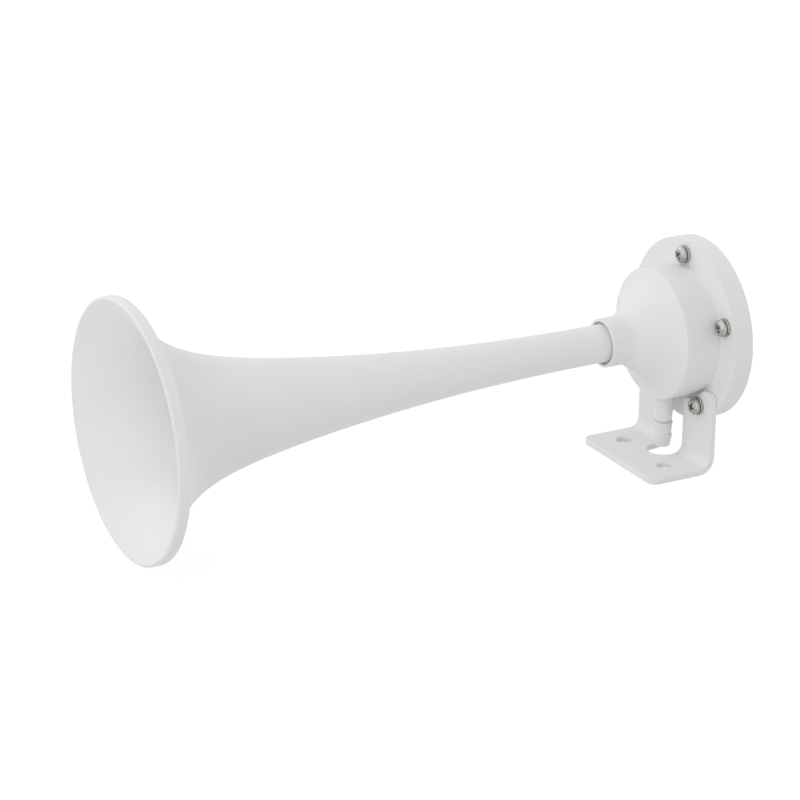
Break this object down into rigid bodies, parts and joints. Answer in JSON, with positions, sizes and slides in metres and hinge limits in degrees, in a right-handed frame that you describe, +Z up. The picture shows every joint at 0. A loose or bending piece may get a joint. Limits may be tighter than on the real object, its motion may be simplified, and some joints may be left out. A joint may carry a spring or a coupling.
{
  "type": "air horn",
  "caption": "Compressed-air trumpet horn: long flared bell screwed into a round diaphragm housing on an L-shaped foot bracket, with a hose barb underneath.",
  "frame": {"origin": "midway between the two foot bolt holes, on the underside of the bracket's foot", "axes": "+Z up, away from the mounting surface; the trumpet's mouth points along -Y; +X completes the frame"},
  "size_m": [0.136, 0.343, 0.1401],
  "materials": {
    "white_coat": "satin white powder coat with a faint orange peel",
    "white_barb": "satin white powder coat",
    "screw_steel": "bright stainless steel",
    "washer_steel": "stainless spring steel",
    "diaphragm_steel": "rolled stainless sheet",
    "seal_rubber": "matt black rubber",
    "seal_fibre": "pale grey fibre washer"
  },
  "bodies": {
    "horn_body": {"trumpet": "white_coat", "tube_seal": "seal_rubber", "front_housing": "white_coat", "front_gasket": "seal_rubber", "rear_gasket": "seal_rubber", "back_cover": "white_coat", "bracket": "white_coat", "hose_barb": "white_barb", "barb_seal": "seal_fibre", "flange_screw_1": "screw_steel", "flange_screw_2": "screw_steel", "bracket_screw_1": "screw_steel", "bracket_screw_2": "screw_steel", "flange_screw_3": "screw_steel", "lock_washer_1": "washer_steel", "lock_washer_2": "washer_steel", "lock_washer_3": "washer_steel", "lock_washer_4": "washer_steel", "lock_washer_5": "washer_steel"},
    "diaphragm": {"diaphragm": "diaphragm_steel"}
  },
  "joints": [
    {"name": "diaphragm_lift", "type": "slide", "parent": "horn_body", "child": "diaphragm", "axis": [0, 1, 0], "range_m": [0, 0.0004], "stiffness_N_per_m": 8000, "deforming": ["rear_gasket"]}
  ]
}
